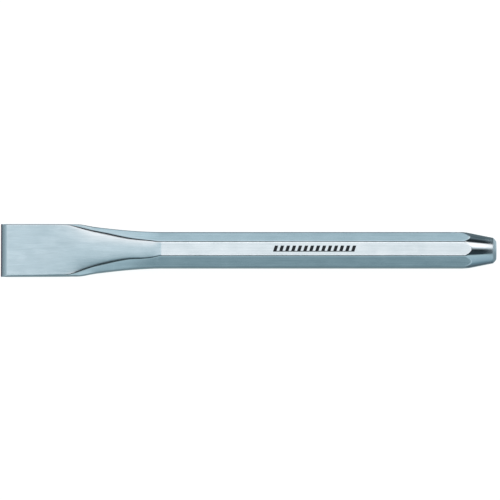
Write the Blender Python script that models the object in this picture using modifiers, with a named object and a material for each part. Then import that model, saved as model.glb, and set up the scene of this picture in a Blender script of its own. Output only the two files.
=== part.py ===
"""Cold chisel: one forging of octagonal steel bar, and the mark printed on its shank.

The bar is drawn out to a flat wedge at one end, and turned to a blunt cone at the other, the struck
head. The frame's origin is under the middle of the tool, at the facet that it lies on. The cutting
edge is at -X and the struck face at +X, the blade's width lies along Y, and Z is up. A station is a
distance from the cutting edge, along the tool.
"""

import math

import bmesh
import bpy

# Driving dimensions, in metres.
LENGTH = 0.200
ACROSS_FLATS = 0.01435

BLADE_WIDTH = 0.0215  # at the cutting edge
BLADE_WIDTH_AT_SHOULDER = 0.0208
EDGE_THICKNESS = 0.0001
BEVEL_LENGTH = 0.0024
BEVEL_THICKNESS = 0.0028  # where the ground bevel meets the wedge
WEDGE_SLOPE = math.tan(math.radians(4.9))  # of each face of the blade

CORNER_STATION = 0.0275  # where the bar's slanted facets run out into the blade
SHOULDER_STATION = 0.031  # where the sides start to draw in
SHOULDER_SWELL = 0.0002  # how far the sides are proud of that line, just past the shoulder
SHOULDER_SWELL_START = 0.0285
SHOULDER_SWELL_END = 0.038
SWELL_STATION = 0.050  # where the wedge starts to steepen
CREASE_STATION = 0.0645  # where the wedge meets the full bar
SWELL_POWER = 2.5  # how sharply it steepens
FACE_POWER = 1.5  # how the wedge face narrows along the neck
SIDE_POWER = 1.7  # how the sides draw in along the neck
CROWN_SHARE = 0.05  # of half the wedge face's width: how far its middle rises above its borders
CROWN_START_STATION = 0.018
CROWN_FULL_STATION = 0.037
CROWN_LEAVE_STATION = 0.061
FLARE = 0.00033  # how far the wedge face widens just before the crease
FLARE_START_STATION = 0.050
FLARE_FULL_STATION = 0.060
SIDE_DIP = 0.00055  # how far the slanted facets cut into the sides as they start
SIDE_DIP_END_STATION = 0.045

BLADE_CORNER = 0.00025  # broken corner along the blade
BLADE_CORNER_LIMIT = 0.4  # of half the thickness, near the cutting edge
EDGE_RADIUS = 0.0006  # along the edges of the bar
EDGE_REACH_LIMIT = 0.45  # of the side that a rounding runs onto
SHARP_ANGLE = math.radians(15)

HEAD_CONE_ANGLE = math.radians(11.35)
HEAD_FACET_END = 0.1887  # where the cone reaches the middle of each facet
HEAD_CONE_END = 0.19875
STRUCK_FACE_RADIUS = 0.0037
CHAMFER_BULGE = 0.00012

MARK_LENGTH = 0.0335
MARK_HEIGHT = 0.00245
MARK_STATION = 0.12665
MARK_BARS = 14
MARK_BAR_SHARE = 0.56  # of the pitch
MARK_RAIL = 0.0003
MARK_LEAN = 0.0007
MARK_THICKNESS = 0.0001
GAP = 0.0003  # between the mark and the facet under it

# Derived dimensions, and how finely round stretches are divided.
AXIS_HEIGHT = ACROSS_FLATS / 2
FACET_HALF = AXIS_HEIGHT * math.tan(math.pi / 8)
OVERRUN = 0.005  # how far the bar runs past the struck face before it is turned
CORNER_STEPS = 2
CROWN_STEPS = 4
BLADE_STATIONS = 4
NECK_STATIONS = 16
TURNING_STEPS = 96
CHAMFER_STEPS = 4
MERGE_DISTANCE = 0.00001


def mix(a, b, share):
    return a + (b - a) * share


def ease(share):
    """0 to 1 with a level start and end."""
    return share * share * (3 - 2 * share)


def share_of(station, start, end):
    return min(max((station - start) / (end - start), 0), 1)


def hump(station, start, end):
    """Rises from 0 at the start to 1 and falls back to 0 at the end."""
    return math.sin(math.pi * share_of(station, start, end)) ** 2


def half_thickness(station):
    """Height of the wedge face above the axis."""
    bevel = BEVEL_THICKNESS / 2
    if station < BEVEL_LENGTH:
        return mix(EDGE_THICKNESS / 2, bevel, station / BEVEL_LENGTH)
    if station >= CREASE_STATION:
        return AXIS_HEIGHT
    straight = bevel + WEDGE_SLOPE * (station - BEVEL_LENGTH)
    at_crease = bevel + WEDGE_SLOPE * (CREASE_STATION - BEVEL_LENGTH)
    swell = share_of(station, SWELL_STATION, CREASE_STATION) ** SWELL_POWER
    return straight + (AXIS_HEIGHT - at_crease) * swell


def side_half_width(station):
    """Half of the width over the sides."""
    blade = mix(BLADE_WIDTH, BLADE_WIDTH_AT_SHOULDER, share_of(station, 0, SHOULDER_STATION)) / 2
    left = 1 - share_of(station, SHOULDER_STATION, CREASE_STATION)
    swell = SHOULDER_SWELL * hump(station, SHOULDER_SWELL_START, SHOULDER_SWELL_END)
    return AXIS_HEIGHT + (blade - AXIS_HEIGHT) * left**SIDE_POWER + swell


def blade_corner(station):
    return min(BLADE_CORNER, BLADE_CORNER_LIMIT * half_thickness(station))


def face_half_width(station):
    """Half of the width of the wedge face, and of the facet that it turns into."""
    if station <= CORNER_STATION:
        return side_half_width(station) - blade_corner(station)
    at_corner = side_half_width(CORNER_STATION) - blade_corner(CORNER_STATION)
    left = 1 - share_of(station, CORNER_STATION, CREASE_STATION)
    flare = FLARE * ease(share_of(station, FLARE_START_STATION, FLARE_FULL_STATION))
    flare *= 1 - ease(share_of(station, FLARE_FULL_STATION, CREASE_STATION))
    return FACET_HALF + (at_corner - FACET_HALF) * left**FACE_POWER + flare


def side_half_height(station):
    """Half of the height of the upright side facet."""
    if station <= CORNER_STATION:
        return half_thickness(station) - crown(station) - blade_corner(station)
    grown = ease(share_of(station, CORNER_STATION, CREASE_STATION))
    dip = SIDE_DIP * hump(station, CORNER_STATION, SIDE_DIP_END_STATION)
    return mix(side_half_height(CORNER_STATION), FACET_HALF, grown) - dip


def crown(station):
    """How far the middle of the wedge face stands above its borders."""
    grown = ease(share_of(station, CROWN_START_STATION, CROWN_FULL_STATION))
    left = 1 - ease(share_of(station, CROWN_LEAVE_STATION, CREASE_STATION))
    return CROWN_SHARE * face_half_width(station) * grown * left


def arc_at_corner(before, corner, after, radius):
    """Points of the arc that rounds a corner, as (y, z) pairs, kept clear of the next corners."""
    toward = []
    for point in (before, after):
        length = math.dist(corner, point)
        toward.append(((point[0] - corner[0]) / length, (point[1] - corner[1]) / length, length))
    (ay, az, a_length), (by, bz, b_length) = toward
    half_opening = math.acos(max(-1, min(1, ay * by + az * bz))) / 2
    longest = EDGE_REACH_LIMIT * min(a_length, b_length)
    reach = min(radius / math.tan(half_opening), longest)
    radius = reach * math.tan(half_opening)
    middle_y, middle_z = ay + by, az + bz
    scale = radius / math.sin(half_opening) / math.hypot(middle_y, middle_z)
    centre = (corner[0] + middle_y * scale, corner[1] + middle_z * scale)
    start = math.atan2(corner[1] + az * reach - centre[1], corner[0] + ay * reach - centre[0])
    turn = math.pi - 2 * half_opening
    return [
        (
            centre[0] + radius * math.cos(start + turn * step / CORNER_STEPS),
            centre[1] + radius * math.sin(start + turn * step / CORNER_STEPS),
        )
        for step in range(CORNER_STEPS + 1)
    ]


def section(station):
    """The bar's outline across the axis, as (y, z) pairs that run anticlockwise seen from +X."""
    half_width, half_height = side_half_width(station), side_half_height(station)
    face, top, rise = face_half_width(station), half_thickness(station), crown(station)
    upper_face = []
    for step in range(CROWN_STEPS + 1):
        across = 1 - 2 * step / CROWN_STEPS
        upper_face.append((face * across, top - rise * across**2))
    lower_face = [(-y, -z) for y, z in upper_face]
    right_side = [(half_width, -half_height), (half_width, half_height)]
    left_side = [(-half_width, half_height), (-half_width, -half_height)]
    outline = right_side + upper_face + left_side + lower_face
    crown_points = set(upper_face[1:-1] + lower_face[1:-1])
    points = []
    for index, corner in enumerate(outline):
        if corner in crown_points:
            points.append(corner)
        else:
            after = outline[(index + 1) % len(outline)]
            points += arc_at_corner(outline[index - 1], corner, after, EDGE_RADIUS)
    return points


def bar_stations():
    stations = [0]
    for step in range(BLADE_STATIONS + 1):
        stations.append(mix(BEVEL_LENGTH, CORNER_STATION, step / BLADE_STATIONS))
    stations.append(SHOULDER_STATION)
    for step in range(1, NECK_STATIONS + 1):
        stations.append(mix(SHOULDER_STATION, CREASE_STATION, step / NECK_STATIONS))
    return stations + [LENGTH + OVERRUN]


def loft(name, stations):
    """A closed mesh through the sections at the stations, with its axis along X."""
    shape = bmesh.new()
    rings = []
    for station in stations:
        x = station - LENGTH / 2
        rings.append([shape.verts.new((x, y, z)) for y, z in section(station)])
    for first, second in zip(rings, rings[1:]):
        for index, vertex in enumerate(first):
            after = (index + 1) % len(first)
            shape.faces.new((vertex, second[index], second[after], first[after]))
    shape.faces.new(rings[0])
    shape.faces.new(reversed(rings[-1]))
    bmesh.ops.recalc_face_normals(shape, faces=shape.faces)
    mesh = bpy.data.meshes.new(name)
    shape.to_mesh(mesh)
    shape.free()
    return mesh


def head_radius(station):
    """Radius of the cone on the struck head."""
    return AXIS_HEIGHT - math.tan(HEAD_CONE_ANGLE) * (station - HEAD_FACET_END)


def turning_profile():
    """The outline that the bar is turned to, as (radius, station) pairs from the struck face down."""
    cone_end = head_radius(HEAD_CONE_END)
    profile = [(0, LENGTH)]
    for step in range(CHAMFER_STEPS + 1):
        share = step / CHAMFER_STEPS
        bulge = CHAMFER_BULGE * math.sin(math.pi * share)
        radius = mix(STRUCK_FACE_RADIUS, cone_end, share) + bulge
        profile.append((radius, mix(LENGTH, HEAD_CONE_END, share) + bulge))
    clear_radius = BLADE_WIDTH
    clear_station = HEAD_FACET_END - (clear_radius - AXIS_HEIGHT) / math.tan(HEAD_CONE_ANGLE)
    profile.append((clear_radius, clear_station))
    profile.append((clear_radius, -OVERRUN))
    profile.append((0, -OVERRUN))
    return profile


def add_turning(collection):
    """The turned solid that the bar is cut to, about the tool's own axis."""
    mesh = bpy.data.meshes.new("head_turning")
    points = [(radius, 0, station - LENGTH / 2) for radius, station in turning_profile()]
    mesh.from_pydata(points, [(i, i + 1) for i in range(len(points) - 1)], [])
    turning = bpy.data.objects.new("head_turning", mesh)
    collection.objects.link(turning)
    turning.rotation_euler = (0, math.pi / 2, 0)
    turning.location = (0, 0, AXIS_HEIGHT)
    screw = turning.modifiers.new("turn", "SCREW")
    screw.axis = "Z"
    screw.steps = screw.render_steps = TURNING_STEPS
    screw.use_merge_vertices = True
    screw.merge_threshold = MERGE_DISTANCE
    turning.hide_render = True
    turning.display_type = "WIRE"
    return turning


def add_forged_body(collection, turning):
    """The whole steel tool, turned at the head."""
    body = bpy.data.objects.new("forged_body", loft("forged_body", bar_stations()))
    collection.objects.link(body)
    body.location = (0, 0, AXIS_HEIGHT)
    body.data.shade_smooth()
    body.data.set_sharp_from_angle(angle=SHARP_ANGLE)
    turned = body.modifiers.new("turned_head", "BOOLEAN")
    turned.operation = "INTERSECT"
    turned.solver = "EXACT"
    turned.object = turning
    body.data.materials.append(steel())
    return body


def mark_outline():
    """A rail with slanted bars standing on it, anticlockwise, centred on its own middle."""
    left, right = -MARK_LENGTH / 2, MARK_LENGTH / 2
    foot, top = -MARK_HEIGHT / 2, MARK_HEIGHT / 2
    rail_top = foot + MARK_RAIL
    pitch = (MARK_LENGTH - MARK_LEAN) / (MARK_BARS - 1 + MARK_BAR_SHARE)
    bar = MARK_BAR_SHARE * pitch
    points = [(left, foot), (right - MARK_LEAN, foot)]
    for index in reversed(range(MARK_BARS)):
        start = left + index * pitch
        points.append((start + bar, rail_top))
        points.append((start + bar + MARK_LEAN, top))
        points.append((start + MARK_LEAN, top))
        points.append((start, rail_top))
    return points


def add_printed_mark(collection, body):
    """The ink on the upper facet, as one thin plate."""
    outline = bpy.data.curves.new("printed_mark", "CURVE")
    outline.dimensions = "2D"
    outline.fill_mode = "BOTH"
    outline.extrude = MARK_THICKNESS / 2
    points = mark_outline()
    spline = outline.splines.new("POLY")
    spline.points.add(len(points) - 1)
    for point, (x, y) in zip(spline.points, points):
        point.co = (x, y, 0, 1)
    spline.use_cyclic_u = True
    mark = bpy.data.objects.new("printed_mark", outline)
    collection.objects.link(mark)
    mark.parent = body
    height = AXIS_HEIGHT + GAP + MARK_THICKNESS / 2
    mark.location = (MARK_STATION - LENGTH / 2, 0, height)
    outline.materials.append(ink())
    return mark


def principled(name, colour, roughness, metallic):
    material = bpy.data.materials.new(name)
    material.use_nodes = True
    shader = material.node_tree.nodes["Principled BSDF"]
    shader.inputs["Base Color"].default_value = (*colour, 1)
    shader.inputs["Roughness"].default_value = roughness
    shader.inputs["Metallic"].default_value = metallic
    return material


def steel():
    return principled("satin_chrome", (0.66, 0.71, 0.74), 0.28, 1)


def ink():
    return principled("black_ink", (0.015, 0.016, 0.02), 0.5, 0)


def add_collection(name):
    collection = bpy.data.collections.new(name)
    bpy.context.scene.collection.children.link(collection)
    return collection


def main():
    for old in list(bpy.data.objects):
        bpy.data.objects.remove(old)
    parts = add_collection("cold_chisel")
    cutters = add_collection("cold_chisel_cutters")
    body = add_forged_body(parts, add_turning(cutters))
    add_printed_mark(parts, body)


main()
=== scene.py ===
"""Cold chisel in satin chrome: the fine steel surface, the printed band, and a plain studio."""

import math

import bmesh
import bpy
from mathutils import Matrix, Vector


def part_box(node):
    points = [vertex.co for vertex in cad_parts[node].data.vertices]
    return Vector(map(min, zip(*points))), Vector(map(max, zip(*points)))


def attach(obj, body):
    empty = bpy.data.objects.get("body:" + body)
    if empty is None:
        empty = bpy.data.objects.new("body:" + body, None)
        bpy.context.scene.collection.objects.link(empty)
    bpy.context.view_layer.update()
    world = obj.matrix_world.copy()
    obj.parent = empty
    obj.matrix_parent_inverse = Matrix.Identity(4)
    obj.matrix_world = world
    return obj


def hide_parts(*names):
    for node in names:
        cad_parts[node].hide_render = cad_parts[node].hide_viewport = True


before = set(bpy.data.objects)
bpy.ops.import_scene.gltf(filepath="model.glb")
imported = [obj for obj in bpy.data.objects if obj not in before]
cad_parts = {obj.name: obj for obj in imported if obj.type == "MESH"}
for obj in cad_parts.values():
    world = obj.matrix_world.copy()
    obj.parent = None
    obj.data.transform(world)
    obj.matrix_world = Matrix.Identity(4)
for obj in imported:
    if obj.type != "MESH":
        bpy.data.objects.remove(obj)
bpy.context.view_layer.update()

STEEL_LOW, STEEL_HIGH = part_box("forged_body")
MARK_LOW, MARK_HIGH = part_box("printed_mark")

MM = 0.001
TIP_X = STEEL_LOW[0]
LENGTH = STEEL_HIGH[0] - STEEL_LOW[0]
AXIS_HEIGHT = STEEL_HIGH[2] / 2

# The steel's shape: the CAD model's, within 0.1 mm in its sizes, with a real forging's small
# unevenness added. A station is a distance from the cutting edge.
BLADE_DRIFT = 0.05 * MM  # how far the blade's middle is to the near side of the bar's
BLADE_WIDTH = 21.4 * MM
BLADE_WIDTH_AT_SHOULDER = 20.7 * MM
EDGE_THICKNESS = 0.1 * MM
BEVEL_LENGTH = 2.5 * MM
BEVEL_THICKNESS = 2.8 * MM
WEDGE_SLOPE = math.tan(math.radians(4.9))
CORNER_STATION = 27.5 * MM
SHOULDER_STATION = 31 * MM
SHOULDER_SWELL = 0.2 * MM  # how much wider the neck is just past the shoulder
SHOULDER_SWELL_STATIONS = (28.5 * MM, 38 * MM)
SWELL_STATION = 50 * MM  # from here to the crease, the face rises faster than the wedge
CREASE_STATION = 64.5 * MM
SWELL_POWER = 2.5
FACE_POWER = 1.5
SIDE_POWER = 1.7
CROWN_SHARE = 0.05  # how far the face bulges, as a share of its half width
CROWN_START_STATION = 18 * MM
CROWN_FULL_STATION = 37 * MM
CROWN_LEAVE_STATION = 61 * MM
FLARE = 0.33 * MM  # how much the face's borders spread just before the crease
FLARE_STATIONS = (50 * MM, 60 * MM)
SIDE_DIP = 0.55 * MM  # how much lower the side's upper border is where the neck starts
SIDE_DIP_STATIONS = (25 * MM, 45 * MM)
FACE_LEAN = 0.42 * MM  # how far the hammered face leans to the far side, along the neck
FACE_LEAN_STATIONS = (24 * MM, 60 * MM)
NEAR_FLARE = 0.3 * MM  # how much further its near border spreads just before the crease
NEAR_FLARE_STATIONS = (51 * MM, 58 * MM)
NEAR_FLARE_LEAVE = 62 * MM
FACE_TURN = math.radians(0.7)  # how far it turns toward the near side where the neck starts
FACE_TURN_STATIONS = (21 * MM, 42 * MM)
BLADE_CORNER = 0.25 * MM
BLADE_CORNER_LIMIT = 0.4  # as a share of half the blade's thickness
EDGE_REACH = 0.8 * MM  # how far the rounding of an edge runs onto the facet beside it
NECK_EDGE_GROWTH = 1.0  # how much further it runs halfway along the neck
NECK_EDGE_STATIONS = (18 * MM, 63 * MM)
EDGE_REACH_LIMIT = 0.45  # as a share of the facet's width
EDGE_WEIGHT = 2.0  # above 1, the rounding is tight at the edge and shallow at its ends
BEVEL_BULGE = 0.05 * MM
FACET_HALF = AXIS_HEIGHT * math.tan(math.pi / 8)
HEAD_CONE_ANGLE = math.radians(11.35)
HEAD_FACET_END = 188.7 * MM
HEAD_CONE_END = 198.75 * MM
STRUCK_FACE_RADIUS = 3.7 * MM
HEAD_MIDDLE = (-0.12 * MM, 0.22 * MM)  # the cone was turned slightly off the bar's axis
CHAMFER_EDGE = 0.12  # the share of the chamfer that the rounding at each of its edges takes up
CHAMFER_BULGE = 0.05 * MM
CHAMFER_OUTWARD = (0.77, 0.64)  # along the axis and away from it, square to the chamfer

# How far each way the breaks along the tool are rounded.
BEVEL_SOFTNESS = 0.2 * MM
BEVEL_SOFTNESS_END = 5 * MM
WEDGE_SOFTNESS = 0.35 * MM
SIDE_SOFTNESS = 1.2 * MM
FACE_SOFTNESS = 0.8 * MM
FACE_SOFTNESS_START = CORNER_STATION - 1 * MM
CONE_START_SOFTNESS = 0.6 * MM
CONE_END_SOFTNESS = 0.12 * MM
STRUCK_FACE_SOFTNESS = 0.25 * MM

# How finely the surface is divided, across the tool and then along it.
CORNER_STEPS = 10
CROWN_STEPS = 14
FACET_STEPS = 5
FIRST_RING_STATION = 0.03 * MM
RING_STRETCHES = [  # where each stretch of rings ends, and how many it has
    (BEVEL_LENGTH - 0.4 * MM, 8),
    (BEVEL_LENGTH + 0.4 * MM, 10),
    (24 * MM, 20),
    (34 * MM, 26),
    (63 * MM, 44),
    (65.2 * MM, 22),
    (185 * MM, 30),
]
HEAD_START_STATION = 186 * MM
CONE_START_STEPS = 3  # on each side of the break
CONE_STEPS = 12
CONE_END_STEPS = 4
CHAMFER_STEPS = 5
STRUCK_FACE_STEPS = 5
STRUCK_FACE_INNER = (STRUCK_FACE_RADIUS - 0.7 * MM, 0.4 * STRUCK_FACE_RADIUS)  # its last rings
STRUCK_RINGS = 4  # how many of the last rings have its finish


def mix(a, b, share):
    return a + (b - a) * share


def ease(share):
    return share * share * (3 - 2 * share)


def share_of(station, start, end):
    return min(max((station - start) / (end - start), 0), 1)


def hump(station, start, end):
    """Rises from nothing to 1 and falls back, smoothly."""
    return math.sin(math.pi * share_of(station, start, end)) ** 2


def softened(value, station, reach):
    """A value averaged over a short stretch, which rounds the breaks in it."""
    steps = 4
    places = [station + reach * step / steps for step in range(-steps, steps + 1)]
    return sum(value(place) for place in places) / len(places)


def wedge_height(station):
    bevel = BEVEL_THICKNESS / 2
    if station < BEVEL_LENGTH:
        share = station / BEVEL_LENGTH
        return mix(EDGE_THICKNESS / 2, bevel, share) + 4 * BEVEL_BULGE * share * (1 - share)
    if station >= CREASE_STATION:
        return AXIS_HEIGHT
    straight = bevel + WEDGE_SLOPE * (station - BEVEL_LENGTH)
    at_crease = bevel + WEDGE_SLOPE * (CREASE_STATION - BEVEL_LENGTH)
    swell = share_of(station, SWELL_STATION, CREASE_STATION) ** SWELL_POWER
    return straight + (AXIS_HEIGHT - at_crease) * swell


def half_thickness(station):
    if station < BEVEL_SOFTNESS_END:
        return softened(wedge_height, station, min(BEVEL_SOFTNESS, station))
    return softened(wedge_height, station, WEDGE_SOFTNESS)


def side_line(station):
    blade = mix(BLADE_WIDTH, BLADE_WIDTH_AT_SHOULDER, share_of(station, 0, SHOULDER_STATION)) / 2
    left = 1 - share_of(station, SHOULDER_STATION, CREASE_STATION)
    swell = SHOULDER_SWELL * hump(station, *SHOULDER_SWELL_STATIONS)
    return AXIS_HEIGHT + (blade - AXIS_HEIGHT) * left**SIDE_POWER + swell


def side_half_width(station):
    return softened(side_line, station, min(SIDE_SOFTNESS, station))


def blade_corner(station):
    return min(BLADE_CORNER, BLADE_CORNER_LIMIT * half_thickness(station))


def face_line(station):
    if station <= CORNER_STATION:
        return side_line(station) - blade_corner(station)
    at_corner = side_line(CORNER_STATION) - blade_corner(CORNER_STATION)
    left = 1 - share_of(station, CORNER_STATION, CREASE_STATION)
    flare = ease(share_of(station, *FLARE_STATIONS))
    flare *= 1 - ease(share_of(station, FLARE_STATIONS[1], CREASE_STATION))
    return FACET_HALF + (at_corner - FACET_HALF) * left**FACE_POWER + FLARE * flare


def face_half_width(station):
    if station <= FACE_SOFTNESS_START:
        return side_half_width(station) - blade_corner(station)
    return softened(face_line, station, FACE_SOFTNESS)


def side_half_height(station):
    start = min(station, CORNER_STATION)
    at_start = half_thickness(start) - crown(start) - blade_corner(start)
    grown = ease(share_of(station, CORNER_STATION, CREASE_STATION))
    return mix(at_start, FACET_HALF, grown) - SIDE_DIP * hump(station, *SIDE_DIP_STATIONS)


def crown(station):
    grown = ease(share_of(station, CROWN_START_STATION, CROWN_FULL_STATION))
    left = 1 - ease(share_of(station, CROWN_LEAVE_STATION, CREASE_STATION))
    return CROWN_SHARE * face_half_width(station) * grown * left


def face_lean(station):
    return FACE_LEAN * hump(station, *FACE_LEAN_STATIONS)


def near_flare(station):
    grown = ease(share_of(station, *NEAR_FLARE_STATIONS))
    return NEAR_FLARE * grown * (1 - ease(share_of(station, NEAR_FLARE_LEAVE, CREASE_STATION)))


def face_turn(station):
    return FACE_TURN * hump(station, *FACE_TURN_STATIONS)


def crossing(a, a_way, b, b_way):
    """Where the line through a along a_way meets the line through b along b_way."""
    cross = a_way[0] * b_way[1] - a_way[1] * b_way[0]
    along = ((b[0] - a[0]) * b_way[1] - (b[1] - a[1]) * b_way[0]) / cross
    return (a[0] + a_way[0] * along, a[1] + a_way[1] * along)


def rounding(start, corner, end):
    """A curve from start to end that is tight near the corner, as (y, z) pairs."""
    points = []
    for step in range(CORNER_STEPS + 1):
        share = step / CORNER_STEPS
        weights = ((1 - share) ** 2, 2 * EDGE_WEIGHT * share * (1 - share), share**2)
        total = sum(weights)
        points.append(
            tuple(
                sum(w * p[axis] for w, p in zip(weights, (start, corner, end))) / total
                for axis in range(2)
            )
        )
    return points


def reached(corner, other, reach):
    """The point on the way from a corner to the other end of its side."""
    length = math.dist(corner, other)
    return mixed(corner, other, min(reach, EDGE_REACH_LIMIT * length) / length)


def mixed(a, b, share):
    return (mix(a[0], b[0], share), mix(a[1], b[1], share))


def half_section(station):
    """The outline from the middle of the right side over the top to the middle of the left."""
    half_width, half_height = side_half_width(station), side_half_height(station)
    spare = near_flare(station) / 2
    face = face_half_width(station) + spare
    top, rise = half_thickness(station), crown(station)
    shift, tilt = face_lean(station) - spare, face_turn(station)

    def on_face(y):
        return (y + shift, top - rise * (y / face) ** 2 + tilt * y)

    slant = math.dist((half_width, half_height), on_face(face))
    edge = EDGE_REACH * (1 + NECK_EDGE_GROWTH * hump(station, *NECK_EDGE_STATIONS))
    # Where the slanted facet starts from nothing, the rounding beside it does too.
    reach = min(edge, EDGE_REACH_LIMIT * face, 2 * slant)
    points = []
    for hand in (1, -1):
        low, high = (hand * half_width, half_height), on_face(hand * face)
        on_side = reached(low, (hand * half_width, -half_height), EDGE_REACH)
        lower = rounding(on_side, low, reached(low, high, edge))
        start = on_face(hand * (face - reach))
        slope = (1, tilt - 2 * rise * hand * (face - reach) / face**2)
        meets = crossing(start, slope, low, (high[0] - low[0], high[1] - low[1]))
        upper = rounding(reached(high, low, edge), meets, start)
        border = between((hand * half_width, 0), on_side, FACET_STEPS)
        border = [(hand * half_width, 0)] + border if hand == 1 else border
        strip = between(lower[-1], upper[0], FACET_STEPS)
        run = border + lower + strip + upper
        if hand == 1:
            points += run
            inner = face - reach
            across = [inner * (1 - 2 * step / CROWN_STEPS) for step in range(1, CROWN_STEPS)]
            points += [on_face(y) for y in across]
        else:
            points += reversed(run)
    return points


def between(start, end, steps):
    """Points strictly between two points."""
    return [mixed(start, end, step / steps) for step in range(1, steps)]


def section(station):
    """The outline across the axis, as (y, z) pairs that run anticlockwise seen from +X."""
    half = half_section(station)
    drift = BLADE_DRIFT * (1 - ease(share_of(station, SHOULDER_STATION, CREASE_STATION)))
    return [(y - drift, z) for y, z in half + [(-y, -z) for y, z in half]]


def spread(start, end, count):
    """Stations from start up to, but not at, end."""
    return [mix(start, end, step / count) for step in range(count)]


def bar_stations():
    """Close together where the surface turns, from the cutting edge to just before the head."""
    stations, start = [0], FIRST_RING_STATION
    for end, count in RING_STRETCHES:
        stations += spread(start, end, count)
        start = end
    return stations


def head_radius(station):
    return AXIS_HEIGHT - math.tan(HEAD_CONE_ANGLE) * (station - HEAD_FACET_END)


def head_profile(radius):
    """(station, radius) pairs down the head, for a strip that starts at a radius on the bar."""
    slope = math.tan(HEAD_CONE_ANGLE)
    meets = HEAD_FACET_END + (AXIS_HEIGHT - radius) / slope
    reach = CONE_START_SOFTNESS
    profile = [(HEAD_START_STATION, radius)]
    for step in range(-CONE_START_STEPS, CONE_START_STEPS + 1):
        past = reach * step / CONE_START_STEPS
        profile.append((meets + past, radius - slope * (past + reach) ** 2 / (4 * reach)))
    for step in range(1, CONE_STEPS + 1):
        station = mix(meets + reach, HEAD_CONE_END - CONE_END_SOFTNESS, step / CONE_STEPS)
        profile.append((station, head_radius(station)))
    return profile + chamfer_profile()


def chamfer_profile():
    """The end of the head's profile: over the chamfer and onto the struck face."""
    leave = HEAD_CONE_END - CONE_END_SOFTNESS
    start, end = (HEAD_CONE_END, head_radius(HEAD_CONE_END)), (LENGTH, STRUCK_FACE_RADIUS)
    first, last = mixed(start, end, CHAMFER_EDGE), mixed(start, end, 1 - CHAMFER_EDGE)
    profile = bend((leave, head_radius(leave)), start, first, CONE_END_STEPS)
    for step in range(1, CHAMFER_STEPS + 1):
        share = step / CHAMFER_STEPS
        bulge = CHAMFER_BULGE * math.sin(math.pi * share)
        middle = mixed(first, last, share)
        profile.append(tuple(m + bulge * way for m, way in zip(middle, CHAMFER_OUTWARD)))
    inner = (LENGTH, STRUCK_FACE_RADIUS - STRUCK_FACE_SOFTNESS)
    profile += bend(last, end, inner, STRUCK_FACE_STEPS)
    return profile + [(LENGTH, radius) for radius in STRUCK_FACE_INNER]


def bend(start, corner, end, steps):
    """Points after start on the curve that rounds a corner."""
    points = []
    for step in range(1, steps + 1):
        share = step / steps
        points.append(mixed(mixed(start, corner, share), mixed(corner, end, share), share))
    return points


def place(station, y, z):
    return (TIP_X + station, y, AXIS_HEIGHT + z)


def steel_rings():
    rings = [[place(s, y, z) for y, z in section(s)] for s in bar_stations()]
    strips = []
    for point in section(LENGTH):
        radius = math.dist(HEAD_MIDDLE, point)
        profile = [(s, r / radius) for s, r in head_profile(radius)]
        strips.append([place(s, *mixed(HEAD_MIDDLE, point, share)) for s, share in profile])
    rings += [list(ring) for ring in zip(*strips)]
    return rings


# The finishes, in the order of the steel's material slots.
SATIN, GROUND, BRIGHT, STRUCK = range(4)


def build_steel():
    """The whole forging as one closed mesh."""
    shape = bmesh.new()
    rings = [[shape.verts.new(point) for point in ring] for ring in steel_rings()]
    cone_start = len(bar_stations()) + 1 + CONE_START_STEPS
    struck_start = len(rings) - STRUCK_RINGS
    for number, (first, second) in enumerate(zip(rings, rings[1:])):
        for index, vertex in enumerate(first):
            after = (index + 1) % len(first)
            face = shape.faces.new((vertex, second[index], second[after], first[after]))
            middle = (vertex.co.x + second[index].co.x) / 2
            face.material_index = GROUND if middle - TIP_X < BEVEL_LENGTH else SATIN
            if number >= cone_start:
                face.material_index = BRIGHT
            if number >= struck_start:
                face.material_index = STRUCK
    shape.faces.new(rings[0]).material_index = GROUND
    hub = shape.verts.new(place(LENGTH, *HEAD_MIDDLE))
    last = rings[-1]
    for index, vertex in enumerate(last):
        face = shape.faces.new((vertex, hub, last[(index + 1) % len(last)]))
        face.material_index = STRUCK
    bmesh.ops.recalc_face_normals(shape, faces=shape.faces)
    for face in shape.faces:
        face.smooth = True
    mesh = bpy.data.meshes.new("chisel_steel")
    shape.to_mesh(mesh)
    shape.free()
    steel = bpy.data.objects.new("chisel_steel", mesh)
    bpy.context.scene.collection.objects.link(steel)
    return steel


# How the finishes change along the tool.
DARKENING_ALONG = [  # how much darker the plate's colour is made, as (station, share) pairs
    (0 * MM, 0), (8 * MM, 0.03), (16 * MM, 0.2), (26 * MM, 0.27), (33 * MM, 0.03),
    (90 * MM, 0), (120 * MM, 0.2), (200 * MM, 0.24),
]
PAINTED_EDGE_REFLECTION_REACH = 0.7 * MM  # how far behind the cutting edge the bevel's colour is darkened: a painted dark reflection of the edge's rounding
CONE_WEAR = (94 * MM, 99 * MM)  # where the cone loses its polish, from the tool's middle
CONE_WEAR_ROUGHNESS = 0.22
BUMP_STRENGTH = 0.5


def new_material(name):
    material = bpy.data.materials.new(name)
    material.use_nodes = True
    nodes = material.node_tree.nodes
    return material, nodes, material.node_tree.links, nodes["Principled BSDF"]


def stretched_noise(nodes, links, stretch, detail, roughness):
    """Noise over the object's own place, scaled by stretch along each axis."""
    where = nodes.new("ShaderNodeTexCoord")
    mapping = nodes.new("ShaderNodeMapping")
    mapping.inputs["Scale"].default_value = stretch
    noise = nodes.new("ShaderNodeTexNoise")
    noise.inputs["Scale"].default_value = 1.0
    noise.inputs["Detail"].default_value = detail
    noise.inputs["Roughness"].default_value = roughness
    links.new(where.outputs["Object"], mapping.inputs["Vector"])
    links.new(mapping.outputs["Vector"], noise.inputs["Vector"])
    return noise.outputs["Fac"]


def ranged(nodes, links, value, low, high, start=0.25, end=0.75):
    """A value from start to end, which is where most of a noise lies, carried to low and high."""
    node = nodes.new("ShaderNodeMapRange")
    node.inputs["From Min"].default_value = start
    node.inputs["From Max"].default_value = end
    node.inputs["To Min"].default_value = low
    node.inputs["To Max"].default_value = high
    links.new(value, node.inputs["Value"])
    return node.outputs["Result"]


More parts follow.
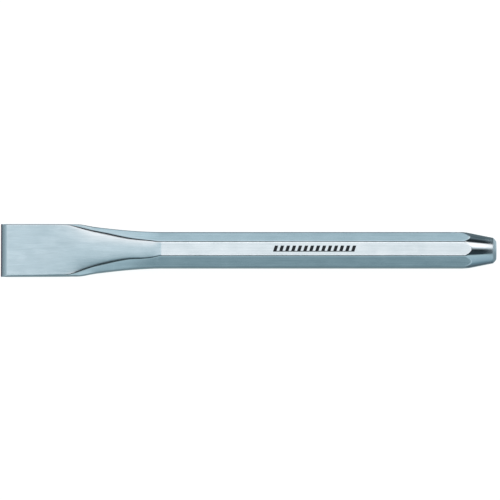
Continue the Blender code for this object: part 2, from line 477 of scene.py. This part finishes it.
def banded(nodes, links, value, low, high, bands):
    """The colour of a value between low and high, from a list of (value, colour)."""
    ramp = nodes.new("ShaderNodeValToRGB")
    stops = ramp.color_ramp.elements
    for index, (at, colour) in enumerate(bands):
        share = (at - low) / (high - low)
        stop = stops[index] if index < 2 else stops.new(share)
        stop.position = share
        stop.color = (*colour, 1)
    links.new(ranged(nodes, links, value, 0, 1, low, high), ramp.inputs["Fac"])
    return ramp.outputs["Color"]


def maths(nodes, links, operation, a, b):
    node = nodes.new("ShaderNodeMath")
    node.operation = operation
    for socket, value in zip(node.inputs, (a, b)):
        if isinstance(value, (int, float)):
            socket.default_value = value
        else:
            links.new(value, socket)
    return node.outputs["Value"]


def tinted(nodes, links, value, dark, light):
    node = nodes.new("ShaderNodeMix")
    node.data_type = "RGBA"
    node.inputs["A"].default_value = (*dark, 1)
    node.inputs["B"].default_value = (*light, 1)
    links.new(value, node.inputs["Factor"])
    return node.outputs["Result"]


def bumped(nodes, links, shader, height, distance):
    node = nodes.new("ShaderNodeBump")
    node.inputs["Strength"].default_value = BUMP_STRENGTH
    node.inputs["Distance"].default_value = distance
    links.new(height, node.inputs["Height"])
    links.new(node.outputs["Normal"], shader.inputs["Normal"])


def along_tool(nodes, links):
    """Where a point is along the tool, from its middle."""
    where = nodes.new("ShaderNodeTexCoord")
    parts = nodes.new("ShaderNodeSeparateXYZ")
    links.new(where.outputs["Object"], parts.inputs[0])
    return parts.outputs["X"]


def darkened_along(nodes, links):
    """How much darker the plate's colour is made at each place along the tool."""
    bands = [(TIP_X + station, (share, share, share)) for station, share in DARKENING_ALONG]
    return banded(nodes, links, along_tool(nodes, links), TIP_X, TIP_X + LENGTH, bands)


def satin_chrome():
    """Plate over steel that was polished along the tool: fine streaks, and faint uneven patches."""
    material, nodes, links, shader = new_material("satin_chrome")
    streaks = stretched_noise(nodes, links, (25, 2600, 2600), 5.0, 0.65)
    lines = stretched_noise(nodes, links, (60, 9000, 9000), 2.0, 0.5)
    patches = stretched_noise(nodes, links, (70, 160, 160), 3.0, 0.5)
    rough = ranged(nodes, links, streaks, 0.14, 0.20)
    cloud = ranged(nodes, links, patches, -0.02, 0.02)
    links.new(maths(nodes, links, "ADD", rough, cloud), shader.inputs["Roughness"])
    brushed = stretched_noise(nodes, links, (18, 620, 620), 4.0, 0.6)
    stains = stretched_noise(nodes, links, (150, 260, 260), 2.0, 0.5)
    shade = maths(nodes, links, "ADD", streaks, maths(nodes, links, "ADD", brushed, stains))
    shade = ranged(nodes, links, shade, 0.34, 1.0, start=1.2, end=1.8)
    # The colour is made darker in stretches along the tool.
    shade = maths(nodes, links, "SUBTRACT", shade, darkened_along(nodes, links))
    colour = tinted(nodes, links, shade, (0.668, 0.711, 0.729), (0.85, 0.87, 0.88))
    links.new(colour, shader.inputs["Base Color"])
    height = maths(nodes, links, "ADD", streaks, maths(nodes, links, "MULTIPLY", lines, 0.4))
    bumped(nodes, links, shader, height, 0.004 * MM)
    shader.inputs["Metallic"].default_value = 1
    return material


def ground_steel():
    """The ground bevel, with its own lines across the tool, and a painted dark reflection along the
    cutting edge.
    """
    material, nodes, links, shader = new_material("ground_edge")
    lines = stretched_noise(nodes, links, (9000, 120, 9000), 3.0, 0.6)
    rough = ranged(nodes, links, lines, 0.15, 0.24)
    links.new(rough, shader.inputs["Roughness"])
    # Painted dark reflection: the colour fades to near black over the last stretch before the
    # cutting edge.
    painted_edge_fade = ranged(nodes, links, along_tool(nodes, links), 0, 1, TIP_X, TIP_X + PAINTED_EDGE_REFLECTION_REACH)
    shade = maths(nodes, links, "MULTIPLY", painted_edge_fade, ranged(nodes, links, lines, 0.85, 1.0))
    colour = tinted(nodes, links, shade, (0.04, 0.05, 0.055), (0.72, 0.76, 0.78))
    links.new(colour, shader.inputs["Base Color"])
    bumped(nodes, links, shader, lines, 0.01 * MM)
    shader.inputs["Metallic"].default_value = 1
    return material


def bright_chrome():
    """The polished cone: a mirror with faint turning rings."""
    material, nodes, links, shader = new_material("bright_chrome")
    rings = stretched_noise(nodes, links, (5200, 60, 60), 3.0, 0.6)
    haze = stretched_noise(nodes, links, (260, 260, 260), 3.0, 0.5)
    polish = maths(
        nodes, links, "ADD",
        ranged(nodes, links, rings, 0.05, 0.10),
        ranged(nodes, links, haze, -0.02, 0.03),
    )
    worn = ranged(nodes, links, along_tool(nodes, links), 0, CONE_WEAR_ROUGHNESS, *CONE_WEAR)
    links.new(maths(nodes, links, "ADD", polish, worn), shader.inputs["Roughness"])
    colour = tinted(nodes, links, haze, (0.76, 0.79, 0.80), (0.84, 0.86, 0.87))
    links.new(colour, shader.inputs["Base Color"])
    bumped(nodes, links, shader, rings, 0.002 * MM)
    shader.inputs["Metallic"].default_value = 1
    return material


def struck_steel():
    """The struck face: duller, with a fine facing pattern."""
    material, nodes, links, shader = new_material("struck_face")
    grain = stretched_noise(nodes, links, (900, 900, 900), 5.0, 0.6)
    links.new(ranged(nodes, links, grain, 0.26, 0.42), shader.inputs["Roughness"])
    colour = tinted(nodes, links, grain, (0.64, 0.67, 0.68), (0.76, 0.78, 0.79))
    links.new(colour, shader.inputs["Base Color"])
    bumped(nodes, links, shader, grain, 0.01 * MM)
    shader.inputs["Metallic"].default_value = 1
    return material


def black_ink():
    """Printed ink, thinner in places."""
    material, nodes, links, shader = new_material("black_ink")
    film = stretched_noise(nodes, links, (1400, 4200, 1400), 5.0, 0.65)
    colour = tinted(nodes, links, film, (0.004, 0.005, 0.008), (0.022, 0.026, 0.034))
    links.new(colour, shader.inputs["Base Color"])
    links.new(ranged(nodes, links, film, 0.38, 0.62), shader.inputs["Roughness"])
    bumped(nodes, links, shader, film, 0.004 * MM)
    return material


# The printed band: slanted bars standing on a thin rail.
MARK_BARS = 14
MARK_BAR_SHARE = 0.56  # of the way from one bar to the next
MARK_RAIL = 0.3 * MM
MARK_LEAN = 0.7 * MM
INK_BELOW = 0.004 * MM  # how far the film reaches into the facet, so that no gap shows
INK_ABOVE = 0.012 * MM


def mark_outline():
    """Along the foot of the rail, then back over one bar after another."""
    left, right = MARK_LOW[0], MARK_HIGH[0]
    foot, top = MARK_LOW[1], MARK_HIGH[1]
    pitch = (right - left - MARK_LEAN) / (MARK_BARS - 1 + MARK_BAR_SHARE)
    bar = MARK_BAR_SHARE * pitch
    points = [(left, foot), (right - MARK_LEAN, foot)]
    for index in reversed(range(MARK_BARS)):
        start = left + index * pitch
        points.append((start + bar, foot + MARK_RAIL))
        points.append((start + bar + MARK_LEAN, top))
        points.append((start + MARK_LEAN, top))
        points.append((start, foot + MARK_RAIL))
    return points


def build_mark():
    """The ink film, lying on the upper facet."""
    outline = bpy.data.curves.new("printed_band", "CURVE")
    outline.dimensions = "2D"
    outline.fill_mode = "BOTH"
    outline.extrude = (INK_ABOVE + INK_BELOW) / 2
    spline = outline.splines.new("POLY")
    points = mark_outline()
    spline.points.add(len(points) - 1)
    for point, (x, y) in zip(spline.points, points):
        point.co = (x, y, 0, 1)
    spline.use_cyclic_u = True
    band = bpy.data.objects.new("printed_band", outline)
    bpy.context.scene.collection.objects.link(band)
    band.location = (0, 0, STEEL_HIGH[2] + (INK_ABOVE - INK_BELOW) / 2)
    return band


# The studio.
VIEW_ELEVATION = math.radians(84.3)
SHOWN_WIDTH = 201.9 * MM  # at the tool
AIM = Vector((0.57 * MM, 0.14 * MM, AXIS_HEIGHT))
LENS = 600
SENSOR = 36
FLOOR_SIZE = 8
FLOOR_TONE = 0.3
FLOOR_GLOW = 0.93


def add_camera():
    data = bpy.data.cameras.new("camera")
    data.lens = LENS
    data.sensor_width = SENSOR
    camera = bpy.data.objects.new("camera", data)
    toward = Vector((0, -math.cos(VIEW_ELEVATION), math.sin(VIEW_ELEVATION)))
    camera.location = AIM + toward * (SHOWN_WIDTH * LENS / SENSOR)
    camera.rotation_euler = (math.pi / 2 - VIEW_ELEVATION, 0, 0)
    bpy.context.scene.collection.objects.link(camera)
    bpy.context.scene.camera = camera


def add_floor():
    """A plain white floor. The steel mirrors the studio's cards rather than this."""
    bpy.ops.mesh.primitive_plane_add(size=FLOOR_SIZE)
    floor = bpy.context.object
    floor.name = "floor"
    floor.visible_glossy = False
    material, nodes, links, shader = new_material("pale_floor")
    shader.inputs["Base Color"].default_value = (FLOOR_TONE, FLOOR_TONE, FLOOR_TONE, 1)
    shader.inputs["Roughness"].default_value = 0.9
    shader.inputs["Emission Color"].default_value = (1, 1, 1, 1)
    shader.inputs["Emission Strength"].default_value = FLOOR_GLOW
    floor.data.materials.append(material)


# Light from round the tool, by the angle from straight up towards +Y in degrees: (angle, colour).
# There is one list for each part of the tool that mirrors it, told apart by the slope along X.
FAR_SIDE = [
    (25, (0.01, 0.015, 0.02)),
    (47, (0.01, 0.015, 0.02)),
    (54, (0.32, 0.40, 0.44)),
    (63, (0.56, 0.71, 0.79)),
    (70, (0.63, 0.80, 0.89)),
    (78, (0.65, 0.80, 0.88)),
    (86, (0.54, 0.72, 0.80)),
    (97, (0.46, 0.62, 0.70)),
    (106, (0.20, 0.27, 0.31)),
    (150, (0.12, 0.17, 0.19)),
    (180, (0.20, 0.28, 0.31)),
]
BLADE_ROOM = [
    (-180, (0.12, 0.17, 0.19)),
    (-110, (0.14, 0.21, 0.24)),
    (-90, (0.20, 0.30, 0.35)),
    (-78, (0.27, 0.39, 0.45)),
    (-46, (0.36, 0.52, 0.59)),
    (-36, (0.36, 0.52, 0.58)),
    (-30, (0.01, 0.02, 0.025)),
    (-12, (0.02, 0.035, 0.04)),
    (-7, (0.16, 0.26, 0.31)),
    (-4, (0.33, 0.48, 0.55)),
    (-1, (0.48, 0.63, 0.70)),
    (2, (0.59, 0.74, 0.81)),
    (7, (0.62, 0.77, 0.85)),
    (12, (0.78, 0.89, 0.95)),
    (15, (1.05, 1.07, 1.10)),
    (20, (1.22, 1.27, 1.32)),
] + FAR_SIDE
BAR_ROOM = [
    (-180, (0.23, 0.33, 0.35)),
    (-150, (0.15, 0.21, 0.24)),
    (-110, (0.17, 0.25, 0.29)),
    (-90, (0.21, 0.32, 0.37)),
    (-82, (0.22, 0.34, 0.39)),
    (-76, (0.27, 0.39, 0.44)),
    (-66, (0.30, 0.43, 0.49)),
    (-46, (0.37, 0.52, 0.59)),
    (-36, (0.50, 0.65, 0.71)),
    (-30, (0.01, 0.02, 0.025)),
    (-13, (0.01, 0.02, 0.025)),
    (-6, (1.7, 1.75, 1.8)),
    (0, (1.12, 1.16, 1.20)),
    (4, (0.89, 0.945, 0.98)),
    (7, (0.89, 0.945, 0.98)),
    (11, (1.45, 1.48, 1.5)),
    (20, (1.6, 1.64, 1.68)),
] + FAR_SIDE
RIM_ROOM = [
    (-180, (0.50, 0.56, 0.60)),
    (-158, (0.30, 0.38, 0.42)),
    (-146, (0.06, 0.09, 0.10)),
    (-112, (0.18, 0.26, 0.31)),
    (-100, (0.48, 0.64, 0.72)),
    (-46, (0.50, 0.68, 0.75)),
    (-40, (0.40, 0.54, 0.60)),
    (-33, (0.01, 0.02, 0.025)),
    (-14, (0.01, 0.02, 0.025)),
    (-8, (1.1, 1.15, 1.2)),
    (20, (1.2, 1.25, 1.3)),
    (25, (0.01, 0.015, 0.02)),
    (52, (0.01, 0.015, 0.02)),
    (60, (0.42, 0.52, 0.58)),
    (80, (0.50, 0.63, 0.70)),
    (88, (0.74, 0.88, 0.94)),
    (98, (0.76, 0.90, 0.97)),
    (105, (0.15, 0.20, 0.23)),
    (140, (0.10, 0.14, 0.16)),
    (158, (0.35, 0.42, 0.46)),
    (180, (0.50, 0.56, 0.60)),
]
HEAD_ROOM = [
    (-180, (0.32, 0.42, 0.47)),
    (-166, (0.17, 0.25, 0.29)),
    (-150, (0.13, 0.20, 0.24)),
    (-142, (0.05, 0.08, 0.10)),
    (-134, (0.06, 0.10, 0.13)),
    (-121, (0.12, 0.19, 0.24)),
    (-109, (0.16, 0.265, 0.32)),
    (-98, (0.235, 0.37, 0.44)),
    (-88, (0.30, 0.44, 0.52)),
    (-62, (0.365, 0.53, 0.61)),
    (-47, (0.42, 0.585, 0.65)),
    (-41, (0.41, 0.58, 0.64)),
    (-33, (0.03, 0.05, 0.06)),
    (0, (0.02, 0.03, 0.035)),
    (9, (0.30, 0.37, 0.40)),
    (18, (0.95, 1.05, 1.12)),
    (26, (1.35, 1.38, 1.40)),
    (48, (1.25, 1.28, 1.31)),
    (57, (0.02, 0.03, 0.035)),
    (77, (0.02, 0.03, 0.035)),
    (84, (0.07, 0.10, 0.12)),
    (92, (0.14, 0.19, 0.22)),
    (104, (0.08, 0.125, 0.145)),
    (117, (0.07, 0.11, 0.125)),
    (130, (0.09, 0.13, 0.15)),
    (142, (0.25, 0.33, 0.37)),
    (155, (0.40, 0.52, 0.57)),
    (180, (0.32, 0.42, 0.47)),
]
CHAMFER_ROOM = [
    (-180, (0.28, 0.38, 0.42)),
    (-150, (0.22, 0.31, 0.35)),
    (-120, (0.16, 0.24, 0.28)),
    (-97, (0.27, 0.37, 0.42)),
    (97, (0.30, 0.40, 0.45)),
    (107, (0.31, 0.41, 0.46)),
    (125, (0.42, 0.54, 0.60)),
    (150, (0.50, 0.63, 0.69)),
    (180, (0.32, 0.43, 0.48)),
]
# Where one list gives way to the next, by the slope along X.
BLADE_TO_BAR = (-0.06, -0.02)
BAR_TO_RIM = (0.09, 0.12)
RIM_TO_HEAD = (0.20, 0.25)
HEAD_TO_CHAMFER = (0.46, 0.54)
# Light from the cutting edge's end of the room, by the slope along X: (slope, colour).
EDGE_END = [
    (-1, (0.30, 0.40, 0.45)),
    (-0.96, (0.30, 0.40, 0.45)),
    (-0.93, (0.02, 0.03, 0.035)),
    (-0.90, (0.11, 0.15, 0.17)),
    (-0.84, (0.36, 0.485, 0.54)),
    (-0.78, (0.54, 0.71, 0.79)),
    (-0.74, (0.85, 1.00, 1.08)),
    (-0.66, (0.88, 1.03, 1.10)),
]
EDGE_END_STARTS = (-0.72, -0.66)
# It comes from a card overhead, whose sides fade between these two angles from straight up.
EDGE_END_SIDES = (30, 42)


def blended(nodes, links, share, first, second):
    node = nodes.new("ShaderNodeMix")
    node.data_type = "RGBA"
    for socket, value in (("Factor", share), ("A", first), ("B", second)):
        links.new(value, node.inputs[socket])
    return node.outputs["Result"]


def add_room():
    """A softbox overhead, dark cards either side of it, and pale cards beyond. The floor hides none
    of it from the steel, and the camera sees plain white past the floor."""
    world = bpy.data.worlds.new("studio")
    bpy.context.scene.world = world
    world.use_nodes = True
    nodes, links = world.node_tree.nodes, world.node_tree.links
    where = nodes.new("ShaderNodeTexCoord")
    parts = nodes.new("ShaderNodeSeparateXYZ")
    links.new(where.outputs["Generated"], parts.inputs[0])
    angle = maths(nodes, links, "ARCTAN2", parts.outputs["Y"], parts.outputs["Z"])
    angle = maths(nodes, links, "MULTIPLY", angle, math.degrees(1))
    slope = parts.outputs["X"]
    light = banded(nodes, links, angle, -180, 180, BLADE_ROOM)
    steps = (
        (BAR_ROOM, BLADE_TO_BAR),
        (RIM_ROOM, BAR_TO_RIM),
        (HEAD_ROOM, RIM_TO_HEAD),
        (CHAMFER_ROOM, HEAD_TO_CHAMFER),
    )
    for room, (start, end) in steps:
        share = ranged(nodes, links, slope, 0, 1, start, end)
        light = blended(nodes, links, share, light, banded(nodes, links, angle, -180, 180, room))
    edge_end = banded(nodes, links, slope, -1, EDGE_END_STARTS[1], EDGE_END)
    sideways = maths(nodes, links, "ABSOLUTE", angle, 0)
    share = maths(
        nodes, links, "MULTIPLY",
        ranged(nodes, links, slope, 1, 0, *EDGE_END_STARTS),
        ranged(nodes, links, sideways, 1, 0, *EDGE_END_SIDES),
    )
    light = blended(nodes, links, share, light, edge_end)
    seen = nodes.new("ShaderNodeLightPath")
    white = nodes.new("ShaderNodeRGB")
    white.outputs[0].default_value = (1, 1, 1, 1)
    light = blended(nodes, links, seen.outputs["Is Camera Ray"], light, white.outputs[0])
    links.new(light, nodes["Background"].inputs["Color"])


def main():
    add_camera()
    add_floor()
    add_room()
    steel = build_steel()
    for finish in (satin_chrome(), ground_steel(), bright_chrome(), struck_steel()):
        steel.data.materials.append(finish)
    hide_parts("forged_body")
    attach(steel, "root")
    band = build_mark()
    band.data.materials.append(black_ink())
    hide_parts("printed_mark")
    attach(band, "root")
    scene = bpy.context.scene
    scene.view_settings.view_transform = "Standard"
    scene.view_settings.look = "None"


main()
